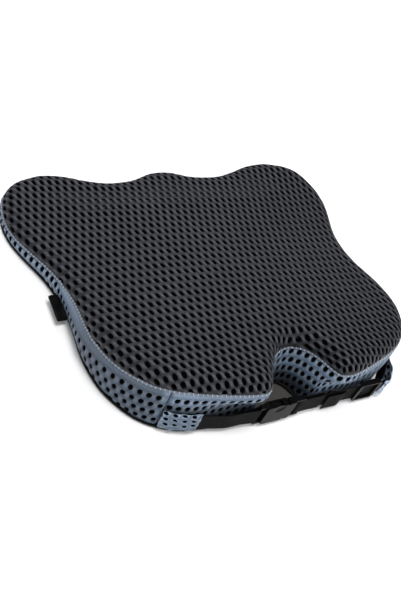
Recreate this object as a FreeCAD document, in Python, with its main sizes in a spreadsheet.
import FreeCAD, Part
import math
import os
from FreeCAD import Vector, Placement
import Sketcher

# Wedge seat cushion with a zipped cover, a chair strap and a side-release buckle.
# +Z is up, +Y points to the front (thin) edge and +X to the right.
# The origin is on the floor under the middle of the object. Plan tables use their own y, which is
# plan_shift larger than the y of the model.

doc = FreeCAD.newDocument("seat_cushion")
sheet = doc.addObject("Spreadsheet::Sheet", "Dims")

CELLS = [
    # plan of the cushion
    ("cushion_width", 444.0), ("cushion_depth", 382.5), ("plan_shift", 9.3),
    # height of the top along the centre line, rear to front
    ("crown_rear", 92.0), ("crown_backmid", 75.0), ("crown_middle", 49.5),
    ("crown_frontmid", 30.0), ("crown_front", 22.5),
    # height of the seam between top panel and side band, rear to front
    ("seam_rear", 73.0), ("seam_backmid", 51.5), ("seam_middle", 30.5),
    ("seam_frontmid", 17.0), ("seam_front", 12.0),
    ("edge_roll", 10.0), ("rear_tuck", 167.0),
    # cover build-up
    ("cover_thick", 1.2), ("layer_gap", 0.3), ("liner_thick", 0.6), ("piping_proud", 0.8),
    ("seam_gap", 0.25), ("dot_height", 1.8), ("dot_radius", 2.2), ("dot_pitch", 24.0),
    ("panel_thick", 1.4),
    # zipper
    ("zip_station", -60.0), ("zip_span", 260.0), ("zip_channel", 16.0), ("tape_width", 12.0),
    ("tape_thick", 0.6), ("coil_radius", 0.8), ("coil_gap", 1.4),
    ("slider_station", 110.0), ("slider_span", 12.0), ("slider_width", 9.0),
    ("plate_thick", 0.8), ("lower_level", 2.4), ("upper_level", 6.1), ("slider_lap", 0.1),
    ("flange_thick", 0.8), ("flange_level", 4.4),
    ("bail_offset", -0.4), ("bail_span", 5.2), ("bail_width", 1.6), ("bail_thick", 0.4),
    ("bail_level", 0.15), ("post_span", 0.8), ("post_height", 2.3),
    ("puller_span", 24.0), ("puller_width", 6.5), ("puller_thick", 0.8), ("puller_level", 1.4),
    # strap
    ("strap_plane", -173.5), ("strap_level", 20.5), ("web_width", 24.5), ("web_thick", 1.2),
    ("tab_width", 29.0), ("tab_thick", 1.2),
    # buckle
    ("buckle_mouth", -3.0), ("buckle_width", 30.0), ("buckle_thick", 9.6),
    ("socket_span", 28.0), ("cheek_span", 8.0), ("wall_thick", 1.4), ("cheek_width", 2.5),
    ("bar_radius", 1.4), ("plug_block", 9.0), ("plug_cheek", 13.0), ("prong_thick", 2.7),
    # slide adjuster
    ("adjuster_span", 32.0), ("adjuster_station", 110.0), ("rail_width", 5.0),
    ("adjuster_depth", 6.4),
    # waist loop
    ("waist_width", 33.0), ("waist_reach", 14.0), ("waist_level", 11.5),
    ("waist_station", 5.0), ("waist_edge", -192.0),
]
for row, (alias, value) in enumerate(CELLS, 1):
    sheet.set(f"A{row}", alias)
    sheet.set(f"B{row}", str(value))
    sheet.setAlias(f"B{row}", alias)
doc.recompute()


def dim(alias):
    return float(sheet.get(alias))


# Right half of the plan as (x, y), from the middle of the front edge clockwise, seen from above,
# to the innermost point of the U cut-out in the rear edge.
HALF_PLAN = [
    (0, 198), (12, 197), (24, 193.5), (33, 189.5), (42, 186.5), (52, 184.5), (62, 183.5),
    (72, 183), (84, 184), (97, 187), (110, 191), (124, 196), (138, 199.5), (152, 201),
    (165, 200.5), (178, 197), (190, 193), (201, 186), (210, 176.5), (216.5, 163),
    (220.5, 147), (222, 129), (219.5, 109), (213, 88.5), (205.5, 70.5), (198.5, 53),
    (193.5, 36), (190, 18), (188, 0), (188, -20), (189.3, -40), (189.8, -60), (188, -78),
    (184.5, -95), (178.8, -110), (171, -124), (161.5, -137), (150, -147.5), (136, -156),
    (120, -163), (102, -169.5), (86, -174.5), (71, -178.5), (60, -180.8), (51.5, -180.9),
    (45, -177), (41.5, -169), (39.5, -159), (37.5, -149), (34.5, -140), (29.5, -132.5),
    (21.5, -127), (11, -124.4), (0, -123.8),
]
HALF_PLAN_WIDTH = 222.0
PLAN_DEPTH = 382.5
SCALE_X = dim("cushion_width") / (2 * HALF_PLAN_WIDTH)
SCALE_Y = dim("cushion_depth") / PLAN_DEPTH
PLAN = [(x * SCALE_X, y * SCALE_Y) for x, y in HALF_PLAN]
PLAN += [(-x, y) for x, y in PLAN[-2:0:-1]]

SHIFT = dim("plan_shift")
ABOVE = 140.0           # a height above the whole cushion
FAR = 260.0             # beyond the cushion on every side
SLAB_HALF = 270.0       # half width of the tools that span the cushion
KNOTS_PER_EDGE = 4      # spline spans joined in one edge of an outline
TUCK_RUN = 7.0          # the wall starts to bend this far in front of rear_tuck
TUCK_SOFT = 8.0         # length over which the bend settles
TUCK_SPREAD = 1.5       # extra offset of the tuck tool away from the rear


# ---- outlines and solids of the cushion ---------------------------------------------------------
def periodic(points, z):
    curve = Part.BSplineCurve()
    curve.interpolate(Points=[Vector(x, y, z) for x, y in points], PeriodicFlag=True)
    return curve


def tucked(y):
    """Pull a plan y of the rear wall in to where it stands below the overhang."""
    start = TUCK_RUN - dim("rear_tuck")
    if y > start:
        return y
    return start - TUCK_SOFT * (1.0 - math.exp((y - start) / TUCK_SOFT))


def ring(offset, low=False, spread=0.0):
    """Plan moved outward by offset; low follows the tucked wall; spread moves all but the rear."""
    points = [(x, tucked(y)) for x, y in PLAN] if low else PLAN
    moved = []
    for i, (x, y) in enumerate(points):
        before_x, before_y = points[i - 1]
        after_x, after_y = points[(i + 1) % len(points)]
        along_x, along_y = after_x - before_x, after_y - before_y
        size = math.hypot(along_x, along_y)
        # the plan runs clockwise, so its left side is outside
        reach = offset + spread * min(1.0, max(0.0, (y + 168.0) / 8.0))
        moved.append((x - along_y / size * reach, y + along_x / size * reach - SHIFT))
    return moved


def wire(points, z):
    curve = periodic(points, z)
    knots = curve.getKnots()
    cuts = knots[0:-1:KNOTS_PER_EDGE] + [knots[-1]]
    return Part.Wire([curve.toShape(a, b) for a, b in zip(cuts, cuts[1:])])


def prism(points, z0, z1):
    return Part.Face(wire(points, z0)).extrude(Vector(0, 0, z1 - z0))


def polygon_prism(corners, along):
    return Part.Face(Part.makePolygon(corners + corners[:1])).extrude(along)


def box(x0, x1, y0, y1, z0, z1):
    """Box with its y given in plan numbers."""
    return Part.makeBox(x1 - x0, y1 - y0, z1 - z0, Vector(x0, y0 - SHIFT, z0))


def height_curve(kind):
    """(y, z) of the crown or seam curve, carried on past both ends of the cushion."""
    stations = ("rear", "backmid", "middle", "frontmid", "front")
    rear, backmid, middle, frontmid, front = [dim(f"{kind}_{key}") for key in stations]
    fall = rear - backmid
    curve = [
        (-250.0, rear + 1.9 * fall * 69 / 150.0), (-215.0, rear + fall * 34 / 81.0 * 0.9),
        (-181.0, rear), (-100.0, backmid), (0.0, middle), (100.0, frontmid), (201.0, front),
        (235.0, front - 2.0), (270.0, front - 4.0),
    ]
    return [(y - SHIFT, z) for y, z in curve]


def slab(kind, drop, floor):
    """Everything between floor and the height curve lowered by drop."""
    crest = [Vector(-SLAB_HALF, y, z - drop) for y, z in height_curve(kind)]
    rear, front = crest[0], crest[-1]
    rear_foot = Vector(-SLAB_HALF, rear.y, floor)
    front_foot = Vector(-SLAB_HALF, front.y, floor)
    curve = Part.BSplineCurve()
    curve.interpolate(crest)
    edges = [
        curve.toShape(),
        Part.makeLine(front, front_foot),
        Part.makeLine(front_foot, rear_foot),
        Part.makeLine(rear_foot, rear),
    ]
    return Part.Face(Part.Wire(edges)).extrude(Vector(2 * SLAB_HALF, 0, 0))


def tuck_tool(offset):
    """What is taken off the rear wall below the overhang."""
    low = ring(offset, True, TUCK_SPREAD)
    high = ring(offset, False, TUCK_SPREAD)
    grown = [(x, y - 1.0) if y < -140 else (x, y) for x, y in high]
    sections = [wire(low, -5.0), wire(low, 47.0), wire(grown, 63.0), wire(grown, 66.0)]
    keep = Part.makeLoft(sections, True, True)
    return box(-SLAB_HALF, SLAB_HALF, -215, -155, 1.0, 61.0).cut(keep)


def cushion(offset, drop, floor, roll):
    """Cushion body at one layer, its top edge rounded by roll and its rear wall tucked in."""
    body = prism(ring(offset), floor, ABOVE).common(slab("crown", drop, floor - 5.0))
    solid = body.Solids[0]
    rim = [
        edge for edge in solid.Edges
        if min(v.Point.z for v in edge.Vertexes) > floor + 5
        and edge.BoundBox.ZMax - edge.BoundBox.ZMin < 45
        and edge.Curve.TypeId != "Part::GeomLine"
    ]
    return solid.makeFillet(roll, rim).Solids[0].cut(tuck_tool(offset))


PARTS = []


def feature(name, shape):
    """Add a piece whose freeform shape is computed from the sheet's sizes."""
    if shape.ShapeType == "Compound" and len(shape.Solids) == 1:
        shape = shape.Solids[0]
    piece = doc.addObject("Part::Feature", name)
    piece.Shape = shape
    piece.Placement = Placement()
    PARTS.append(piece)


def bind_base(piece, base):
    for axis, expression in zip("xyz", base):
        piece.setExpression(".Placement.Base." + axis, expression)


# ---- cover: top panel, piping and the side band in four lengths ---------------------------------
cover = dim("cover_thick")
gap = dim("layer_gap")
roll = dim("edge_roll")
seam_gap = dim("seam_gap")
band_floor = 4.5
piping_half = 1.2       # half height of the piping
front_seam_y = 150.0    # seams between the front and side bands

shell = cushion(0.0, 0.0, band_floor, roll).cut(
    cushion(-cover, cover, band_floor - 3.0, roll - 1.0))

feature("top_panel", shell.cut(slab("seam", -piping_half - seam_gap, band_floor - 4.0)))

piping = prism(ring(dim("piping_proud")), band_floor, ABOVE)
piping = piping.cut(prism(ring(-1.0), band_floor - 1.0, ABOVE + 1.0))
piping = piping.common(slab("seam", -piping_half, band_floor - 5.0))
feature("top_seam_piping", piping.cut(slab("seam", piping_half, band_floor - 6.0)))


def rear_wedge(push):
    """Plan wedge over the rear band, its two slanted sides moved outward by push."""
    run, rise = 0.62, 0.78      # direction of the slanted side, along x and against y
    reach = 110.0
    seam_x = 142.6 + rise * push
    seam_y = -152.2 + run * push
    apex_y = seam_y + rise * seam_x / run
    far_x, far_y = seam_x + run * reach, seam_y - rise * reach
    corners = [(0, apex_y), (far_x, far_y), (0, far_y - 80), (-far_x, far_y)]
    return polygon_prism([Vector(x, y - SHIFT, -20.0) for x, y in corners], Vector(0, 0, 180.0))


band = shell.common(slab("seam", piping_half + seam_gap, band_floor - 4.0))
side = band.cut(rear_wedge(seam_gap))
side_front = front_seam_y - seam_gap
feature("rear_band", band.common(rear_wedge(-seam_gap)))
feature("side_band_right", side.common(box(10, FAR, -FAR, side_front, -5, 150)))
feature("side_band_left", side.common(box(-FAR, -10, -FAR, side_front, -5, 150)))
feature("front_band", side.common(box(-FAR, FAR, front_seam_y + seam_gap, FAR, -5, 150)))

# ---- inside: liner and foam, with a channel along the zipper ------------------------------------
zip_y = dim("zip_station")
tape = dim("tape_width")
half_zip = dim("zip_span") / 2.0
panel_z = dim("dot_height")
tape_z = panel_z + dim("panel_thick") + gap
tape_top = tape_z + dim("tape_thick")
inside_z = tape_top + gap
channel_roof = 7.3
channel_half_x = half_zip + 16
channel_half_y = tape + 1.5
liner_thick = dim("liner_thick")
liner_offset = cover + gap
hollow_offset = liner_offset + liner_thick
foam_offset = liner_offset + liner_thick + gap


def channel(grow_x, grow_y, z0, z1):
    """Box over the zipper, grown sideways from the channel's inner size."""
    half_x, half_y = channel_half_x + grow_x, channel_half_y + grow_y
    return box(-half_x, half_x, zip_y - half_y, zip_y + half_y, z0, z1)


liner = cushion(-liner_offset, liner_offset, inside_z, roll - 1.2)
liner = liner.cut(cushion(-hollow_offset, hollow_offset, inside_z + liner_thick, roll - 1.8))
liner = liner.fuse(channel(liner_thick, liner_thick, inside_z, channel_roof + liner_thick))
liner = liner.cut(channel(0, 0, inside_z - 1, channel_roof))
feature("inner_liner", liner.removeSplitter())

foam = cushion(-foam_offset, foam_offset, inside_z + liner_thick + gap, roll - 2.0)
feature("foam_core", foam.cut(channel(1.0, 1.2, 0, channel_roof + liner_thick + gap)))

# ---- underside: binding, two panels, anti-slip dots ---------------------------------------------
tape_half_x = half_zip + 10
slot_half = dim("zip_channel") / 2.0
split_half = 0.2        # half the gap between the panels beyond the zipper
dot_inset = 10.0        # the dots' centres keep this far inside the edge
dot_zip_clear = 7.0     # and this far from the zipper slot
dot_start_y = 3.0
dot_field = 440.0

binding = prism(ring(0.5, True), panel_z - 0.2, band_floor - 0.3)
feature("bottom_binding", binding.cut(prism(ring(-1.5, True), panel_z - 1.0, band_floor + 1.0)))

panel = prism(ring(-1.8, True), panel_z, panel_z + dim("panel_thick"))
panel = panel.cut(box(-tape_half_x, tape_half_x, zip_y - slot_half, zip_y + slot_half, 0, 10))
panel = panel.cut(box(-FAR, FAR, zip_y - split_half, zip_y + split_half, 0, 10))
feature("bottom_panel_front", panel.common(box(-FAR, FAR, zip_y, FAR, 0, 10)))
feature("bottom_panel_rear", panel.common(box(-FAR, FAR, -FAR, zip_y, 0, 10)))


def inside(outline, x, y):
    hit = False
    for (ax, ay), (bx, by) in zip(outline, outline[1:] + outline[:1]):
        if (ay > y) != (by > y) and x < ax + (y - ay) * (bx - ax) / (by - ay):
            hit = not hit
    return hit


def grip_dots():
    """Dots in staggered rows half a pitch apart, kept off the edge and the zipper."""
    outline = [(x, y + SHIFT) for x, y in ring(-dot_inset, True)]
    pitch = dim("dot_pitch")
    count = int(dot_field / pitch)
    dots = []
    for j in range(-count, count + 1):
        y = j * pitch * 0.5 + dot_start_y
        for i in range(-count, count + 1):
            x = (i + (0.5 if j % 2 else 0.0)) * pitch
            if inside(outline, x, y) and abs(y - zip_y) > slot_half + dot_zip_clear:
                centre = Vector(x, y - SHIFT, 0)
                dots.append(Part.makeCylinder(dim("dot_radius"), dim("dot_height"), centre))
    return Part.makeCompound(dots)


feature("grip_dots", grip_dots())

# ---- zipper -------------------------------------------------------------------------------------
tape_clear = 0.9        # from the zipper's centre line to each tape
stop_span = 2.0
stop_half = 2.6
stop_clear = 0.3
coil_radius = dim("coil_radius")
coil_z = tape_top + 0.1 + coil_radius
coil_y = dim("coil_gap") / 2.0 + coil_radius

for name, y0 in (("zipper_tape_front", zip_y + tape_clear),
                 ("zipper_tape_rear", zip_y - tape_clear - tape)):
    feature(name, box(-tape_half_x, tape_half_x, y0, y0 + tape, tape_z, tape_top))

feature("zipper_coils", Part.makeCompound([
    Part.makeCylinder(coil_radius, 2 * half_zip,
                      Vector(-half_zip, zip_y - SHIFT + side_sign * coil_y, coil_z),
                      Vector(1, 0, 0))
    for side_sign in (-1, 1)]))
feature("zipper_end_stops", Part.makeCompound([
    box(x, x + stop_span, zip_y - stop_half, zip_y + stop_half,
        coil_z - coil_radius, coil_z + coil_radius)
    for x in (-half_zip - stop_clear - stop_span, half_zip + stop_clear)]))

# Slider: two plates joined by a neck between the coils, flanges below the upper plate, and a bail
# under the lower plate. Columns: name, sizes along x, y, z, low corner.
PLATE = ("Dims.slider_span", "Dims.slider_width", "Dims.plate_thick")
FLANGE = ("Dims.slider_span", "Dims.flange_thick",
          "Dims.upper_level + Dims.slider_lap - Dims.flange_level")
POST = ("Dims.post_span", "Dims.bail_width", "Dims.post_height")
SLIDER_X = "-Dims.slider_span / 2"
SLIDER_EDGE = "-Dims.slider_width / 2"
BAIL_X = "Dims.bail_offset - Dims.bail_span / 2"
BAIL_Y = "-Dims.bail_width / 2"
SLIDER_BLOCKS = [
    ("slider_lower", PLATE, (SLIDER_X, SLIDER_EDGE, "Dims.lower_level")),
    ("slider_upper", PLATE, (SLIDER_X, SLIDER_EDGE, "Dims.upper_level")),
    ("slider_neck",
     ("4.5", "Dims.coil_gap - 0.6",
      "Dims.upper_level - Dims.lower_level - Dims.plate_thick + 2 * Dims.slider_lap"),
     ("-1.5", "-(Dims.coil_gap - 0.6) / 2",
      "Dims.lower_level + Dims.plate_thick - Dims.slider_lap")),
    ("slider_flange_a", FLANGE,
     (SLIDER_X, "Dims.slider_width / 2 - Dims.flange_thick", "Dims.flange_level")),
    ("slider_flange_b", FLANGE, (SLIDER_X, SLIDER_EDGE, "Dims.flange_level")),
    ("bail_post_a", POST, (BAIL_X, BAIL_Y, "Dims.bail_level")),
    ("bail_post_b", POST,
     ("Dims.bail_offset + Dims.bail_span / 2 - Dims.post_span", BAIL_Y, "Dims.bail_level")),
    ("bail_bar", ("Dims.bail_span", "Dims.bail_width", "Dims.bail_thick"),
     (BAIL_X, BAIL_Y, "Dims.bail_level")),
]
ZIP_Y = "Dims.zip_station - Dims.plan_shift"


def zipper_slider():
    blocks = []
    for name, sizes, base in SLIDER_BLOCKS:
        block = doc.addObject("Part::Box", name)
        for size_name, expression in zip(("Length", "Width", "Height"), sizes):
            block.setExpression(size_name, expression)
        bind_base(block, base)
        blocks.append(block)
    slider = doc.addObject("Part::MultiFuse", "zipper_slider")
    slider.Shapes = blocks
    bind_base(slider, ("Dims.slider_station", ZIP_Y, "0"))
    PARTS.append(slider)


zipper_slider()


# ---- helpers for bodies made from sketches ------------------------------------------------------
def sketch(body, name, role, loops=(), circles=()):
    """Sketch on an origin plane; loops are corner lists, circles are (x, y, radius)."""
    drawing = body.newObject("Sketcher::SketchObject", name)
    plane = [item for item in body.Origin.OriginFeatures if item.Role == role][0]
    drawing.AttachmentSupport = [(plane, "")]
    drawing.MapMode = "FlatFace"
    for points in loops:
        first = drawing.GeometryCount
        count = len(points)
        for (ax, ay), (bx, by) in zip(points, points[1:] + points[:1]):
            drawing.addGeometry(Part.LineSegment(Vector(ax, ay, 0), Vector(bx, by, 0)), False)
        for i in range(count):
            drawing.addConstraint(Sketcher.Constraint(
                "Coincident", first + i, 2, first + (i + 1) % count, 1))
    for x, y, radius in circles:
        drawing.addGeometry(Part.Circle(Vector(x, y, 0), Vector(0, 0, 1), radius), False)
        last = drawing.GeometryCount - 1
        drawing.addConstraint(Sketcher.Constraint("Radius", last, radius))
    return drawing


def rect(x0, x1, y0, y1):
    return [(x0, y0), (x1, y0), (x1, y1), (x0, y1)]


def cut_rect(x0, x1, y0, y1, cut):
    """Rectangle with its corners cut off."""
    return [(x0 + cut, y0), (x1 - cut, y0), (x1, y0 + cut), (x1, y1 - cut),
            (x1 - cut, y1), (x0 + cut, y1), (x0, y1 - cut), (x0, y0 + cut)]


def arc(centre_x, centre_y, radius, start, end, steps=10):
    angles = [math.radians(start + (end - start) * i / steps) for i in range(steps + 1)]
    return [(centre_x + radius * math.cos(a), centre_y + radius * math.sin(a)) for a in angles]


def pad(body, name, profile, length, kind="Pad", midplane=True):
    operation = body.newObject("PartDesign::" + kind, name)
    operation.Profile = profile
    operation.setExpression("Length", length)
    operation.Midplane = midplane
    doc.recompute()


def pocket(body, name, profile, length, midplane=True):
    before = body.Shape.Volume
    pad(body, name, profile, length, "Pocket", midplane)
    if body.Shape.Volume > before - 1.0:
        raise RuntimeError(f"pocket {name} cut nothing")


def new_body(name, base):
    body = doc.addObject("PartDesign::Body", name)
    doc.recompute()
    bind_base(body, base)
    PARTS.append(body)
    return body


# ---- buckle, adjuster and puller: bodies --------------------------------------------------------
STRAP_Y = "Dims.strap_plane - Dims.plan_shift"
AT_MOUTH = ("Dims.buckle_mouth", STRAP_Y, "Dims.strap_level")
CHEEK_THICK = "Dims.buckle_thick - 4"
BAR_LENGTH = "Dims.buckle_width - Dims.cheek_width"
half_width = dim("buckle_width") / 2.0
bar_radius = dim("bar_radius")
socket_end = -dim("socket_span")
socket_tail = socket_end - dim("cheek_span")
# webbing bars, x from the buckle's mouth
socket_bar_x = socket_tail + 3.0
plug_bar_x = 17.0


def cheeks(x0, x1):
    """Upper and lower cheek between which a webbing bar runs."""
    inner = half_width - dim("cheek_width")
    return [rect(x0, x1, inner, half_width), rect(x0, x1, -half_width, -inner)]


def buckle_socket():
    """Flat box open towards the plug, windows above and below, a bar for the webbing."""
    body = new_body("buckle_socket", AT_MOUTH)
    wall = dim("wall_thick")
    mouth_y = dim("buckle_thick") / 2.0 - wall
    mouth_z = half_width - wall
    outline = cut_rect(socket_end, 0, -half_width, half_width, 2.0)
    pad(body, "socket_box", sketch(body, "socket_outline", "XZ_Plane", [outline]),
        "Dims.buckle_thick")
    pad(body, "socket_cheeks", sketch(body, "socket_cheek_outline", "XZ_Plane",
                                      cheeks(socket_tail, socket_end + 2.2)), CHEEK_THICK)
    pad(body, "socket_bar", sketch(body, "socket_bar_section", "XY_Plane",
                                   circles=[(socket_bar_x, 0, bar_radius)]), BAR_LENGTH)
    pocket(body, "socket_cavity", sketch(body, "socket_mouth", "YZ_Plane",
                                         [rect(-mouth_y, mouth_y, -mouth_z, mouth_z)]),
           "Dims.socket_span - Dims.wall_thick", False)
    pocket(body, "socket_windows", sketch(body, "socket_window", "XY_Plane",
                                          [rect(-24.0, -8.0, -3.1, 3.1)]),
           "Dims.buckle_width + 4")


def buckle_plug():
    """Block, cheeks, webbing bar and guide tongue."""
    body = new_body("buckle_plug", AT_MOUTH)
    start = 0.4
    block_end = start + dim("plug_block")
    outline = cut_rect(start, block_end, -half_width, half_width, 1.5)
    pad(body, "plug_base", sketch(body, "plug_outline", "XZ_Plane", [outline]),
        "Dims.buckle_thick - 1")
    pad(body, "plug_cheeks", sketch(body, "plug_cheek_outline", "XZ_Plane",
                                    cheeks(block_end - 1.8, block_end + dim("plug_cheek"))),
        CHEEK_THICK)
    pad(body, "plug_bar", sketch(body, "plug_bar_section", "XY_Plane",
                                 circles=[(plug_bar_x, 0, bar_radius)]), BAR_LENGTH)
    pad(body, "plug_tongue", sketch(body, "plug_tongue_outline", "XZ_Plane",
                                    [rect(-20.0, 1.0, -1.3, 1.3)]), "4.4")


# Prong after its root: x from the mouth, z from the buckle's upper edge. The arm's outer side runs
# into a button with a sloping shoulder that shows in the socket's window.
PRONG = [
    (-6.5, -6.4), (-8.6, -4.6), (-9.0, -1.85), (-13.5, -1.25), (-18.0, -0.8),
    (-20.5, -1.6), (-24.0, -4.8), (-25.2, -7.4), (-24.0, -9.2), (-8.0, -10.9),
]


def prong(name, up):
    """Prong with a rounded root at the plug; up is 1 or -1."""
    body = new_body(name, AT_MOUTH)
    outline = arc(-1.5, half_width - 9.5, 1.6, -90, 90, 9)
    outline += [(x, half_width + z) for x, z in PRONG]
    profile = sketch(body, name + "_outline", "XZ_Plane", [[(x, up * z) for x, z in outline]])
    pad(body, name + "_arm", profile, "2 * Dims.prong_thick")


def slide_adjuster():
    """Two end bars on the outer side of the webbing, a middle bar on the inner side."""
    body = new_body("slide_adjuster", ("Dims.adjuster_station", STRAP_Y, "Dims.strap_level"))
    half_span = dim("adjuster_span") / 2.0
    slot_end = half_span - dim("rail_width")
    slot_z = dim("web_width") / 2.0 + 0.8
    beyond_y = dim("adjuster_depth") / 2.0 + 1
    clear = dim("web_thick") / 2.0 + 0.25
    slot_depth = "Dims.web_width + 1.6"
    pad(body, "adjuster_plate", sketch(body, "adjuster_outline", "XZ_Plane", [
        cut_rect(-half_span, half_span, -half_width, half_width, 2.5),
        rect(2.5, slot_end, -slot_z, slot_z),
        rect(-slot_end, -2.5, -slot_z, slot_z)]), "Dims.adjuster_depth")
    pocket(body, "adjuster_end_bars", sketch(body, "adjuster_end_clear", "XY_Plane", [
        rect(slot_end - 1, half_span + 1, -clear, beyond_y),
        rect(-half_span - 1, -slot_end + 1, -clear, beyond_y)]), slot_depth)
    pocket(body, "adjuster_mid_bar", sketch(body, "adjuster_mid_clear", "XY_Plane", [
        rect(-3.5, 3.5, -beyond_y, clear)]), slot_depth)


def zipper_puller():
    """Flat tab with a window; its cross bar runs through the slider's bail."""
    body = new_body("zipper_puller", (
        "Dims.slider_station + Dims.bail_offset", ZIP_Y, "Dims.puller_level"))
    half = dim("puller_width") / 2.0
    tip = dim("puller_span")
    outline = [(-0.6, -half), (tip - 5, -half), (tip - 1, -half + 1.2), (tip, 0),
               (tip - 1, half - 1.2), (tip - 5, half), (-0.6, half)]
    window = rect(0.6, 3.4, -1.4, 1.4)
    pad(body, "puller_tab", sketch(body, "puller_outline", "XY_Plane", [outline, window]),
        "Dims.puller_thick")


buckle_socket()
buckle_plug()
prong("prong_upper", 1)
prong("prong_lower", -1)
slide_adjuster()
zipper_puller()

# ---- webbing and tabs: strips of even thickness bent along a plan path --------------------------
strap_y = dim("strap_plane") - SHIFT
strap_z = dim("strap_level")
web = dim("web_thick")
ply_clear = 0.15
wrap_radius = bar_radius + ply_clear + web / 2.0
ply_y = web / 2.0 + ply_clear       # each ply of the doubled left webbing
loop_y = 2 * ply_y                  # each ply of the plug's loop, around the right webbing
bar_left = dim("buckle_mouth") + socket_bar_x
bar_right = dim("buckle_mouth") + plug_bar_x


def strip(name, path, thick, width):
    """Add an upright strip centred on the path and on the strap's level."""
    left, right = [], []
    last = len(path) - 1
    for i, (x, y) in enumerate(path):
        before_x, before_y = path[max(i - 1, 0)]
        after_x, after_y = path[min(i + 1, last)]
        along_x, along_y = after_x - before_x, after_y - before_y
        size = math.hypot(along_x, along_y)
        # keeps the thickness even where the path turns
        stretch = 1.0
        if 0 < i < last:
            step_x, step_y = x - before_x, y - before_y
            dot = abs(step_x * along_x + step_y * along_y)
            stretch = min(math.hypot(step_x, step_y) * size / max(1e-6, dot), 1.3)
        side_x = -along_y / size * thick / 2 * stretch
        side_y = along_x / size * thick / 2 * stretch
        left.append((x + side_x, y + side_y))
        right.append((x - side_x, y - side_y))
    corners = [Vector(x, y, strap_z - width / 2.0) for x, y in left + right[::-1]]
    feature(name, polygon_prism(corners, Vector(0, 0, width)))


def wall_path(offset, x0, x1):
    """Points at least 3 apart along the tucked rear wall, offset outside it, from x0 to x1."""
    curve = periodic(ring(offset, True), 0.0)
    start, end = curve.FirstParameter, curve.LastParameter
    samples = [curve.value(start + (end - start) * i / 1200.0) for i in range(1200)]
    found = sorted((p.x, p.y) for p in samples if x0 <= p.x <= x1 and p.y < -110)
    keep = [found[0]]
    for x, y in found[1:]:
        if math.hypot(x - keep[-1][0], y - keep[-1][1]) > 3.0:
            keep.append((x, y))
    return keep


def from_strap(points):
    """Path points from (x, y measured from the strap's plane)."""
    return [(x, strap_y + y) for x, y in points]


def bar_wrap(bar_x, far, near, squeeze, start_angle):
    """Turn around a bar, outer side first; far and near are x from the bar."""
    half = [(bar_x + far, wrap_radius * squeeze), (bar_x + near, wrap_radius)]
    turn = arc(bar_x, strap_y, wrap_radius, start_angle, 90)
    return from_strap([(x, -y) for x, y in half]) + turn + from_strap(half[::-1])


strip("webbing_left",
      wall_path(1.7, -128, -108)
      + from_strap([(-100, 5.5), (-92, 3.6), (-84, 1.7), (-76, -0.1),
                    (-70, -ply_y), (-62, -ply_y), (-54, -ply_y)])
      + bar_wrap(bar_left, -8, -3, 0.8, -90)
      + from_strap([(-54, ply_y), (-68, ply_y)]),
      web, dim("web_width"))
strip("webbing_right", from_strap([(43, 0), (95, 0), (139, 0)]), web, dim("web_width"))
strip("plug_webbing_loop",
      from_strap([(50, -loop_y), (26, -loop_y)])
      + bar_wrap(bar_right, 6, 2, 0.85, 270)
      + from_strap([(26, loop_y), (50, loop_y)]),
      web, dim("web_width"))

strip("tab_left", wall_path(3.4, -143.5, -101), dim("tab_thick"), dim("tab_width"))
# the right tab folds around the webbing's end; its fold lies at tab_end, y from the strap's plane
tab_end = -146.8 - dim("strap_plane")
strip("tab_right",
      from_strap([(131, -2.2), (139, -2.1), (146, 2.6), (151.6, 12), (155.4, 22),
                  (156.4, tab_end + 1.0), (154.6, tab_end + 0.6), (150.5, tab_end - 6),
                  (146.5, 16), (141.5, 6.5), (138, 2.4), (131, 2.2)]),
      dim("tab_thick"), dim("tab_width"))


# ---- waist loop: a short length of webbing folded in half, on the left side ---------------------
def waist_loop():
    edge = dim("waist_edge")
    tip = edge - dim("waist_reach")
    width = dim("waist_width")
    y0 = dim("waist_station") - width / 2.0 - SHIFT
    # upper halves, (x, z from the loop's level)
    outline = [(edge, 1.8), (tip + 2.6, 2.3), (tip + 0.6, 1.9), (tip - 0.6, 0.7)]
    eye = [(edge - 3.0, 0.7), (tip + 3.2, 1.1), (tip + 1.2, 0.9), (tip + 0.6, 0.0)]

    def mirrored_prism(half):
        points = half + [(x, -z) for x, z in reversed(half) if z]
        corners = [Vector(x, y0, dim("waist_level") + z) for x, z in points]
        return polygon_prism(corners, Vector(0, width, 0))

    return mirrored_prism(outline).cut(mirrored_prism(eye))


feature("waist_loop", waist_loop())

doc.recompute()

# ---- checks and export --------------------------------------------------------------------------
for item in doc.Objects:
    if any(state in ("Invalid", "Error") for state in item.State):
        raise RuntimeError(f"{item.Label} is {item.State}")
for piece in PARTS:
    if piece.Shape.isNull() or not piece.Shape.isValid():
        raise RuntimeError(f"shape of {piece.Label} is not valid")
    if not piece.Shape.Solids:
        raise RuntimeError(f"{piece.Label} holds no solid")
os.makedirs("parts", exist_ok=True)
for piece in PARTS:
    piece.Shape.exportStep(f"parts/{piece.Label}.step")
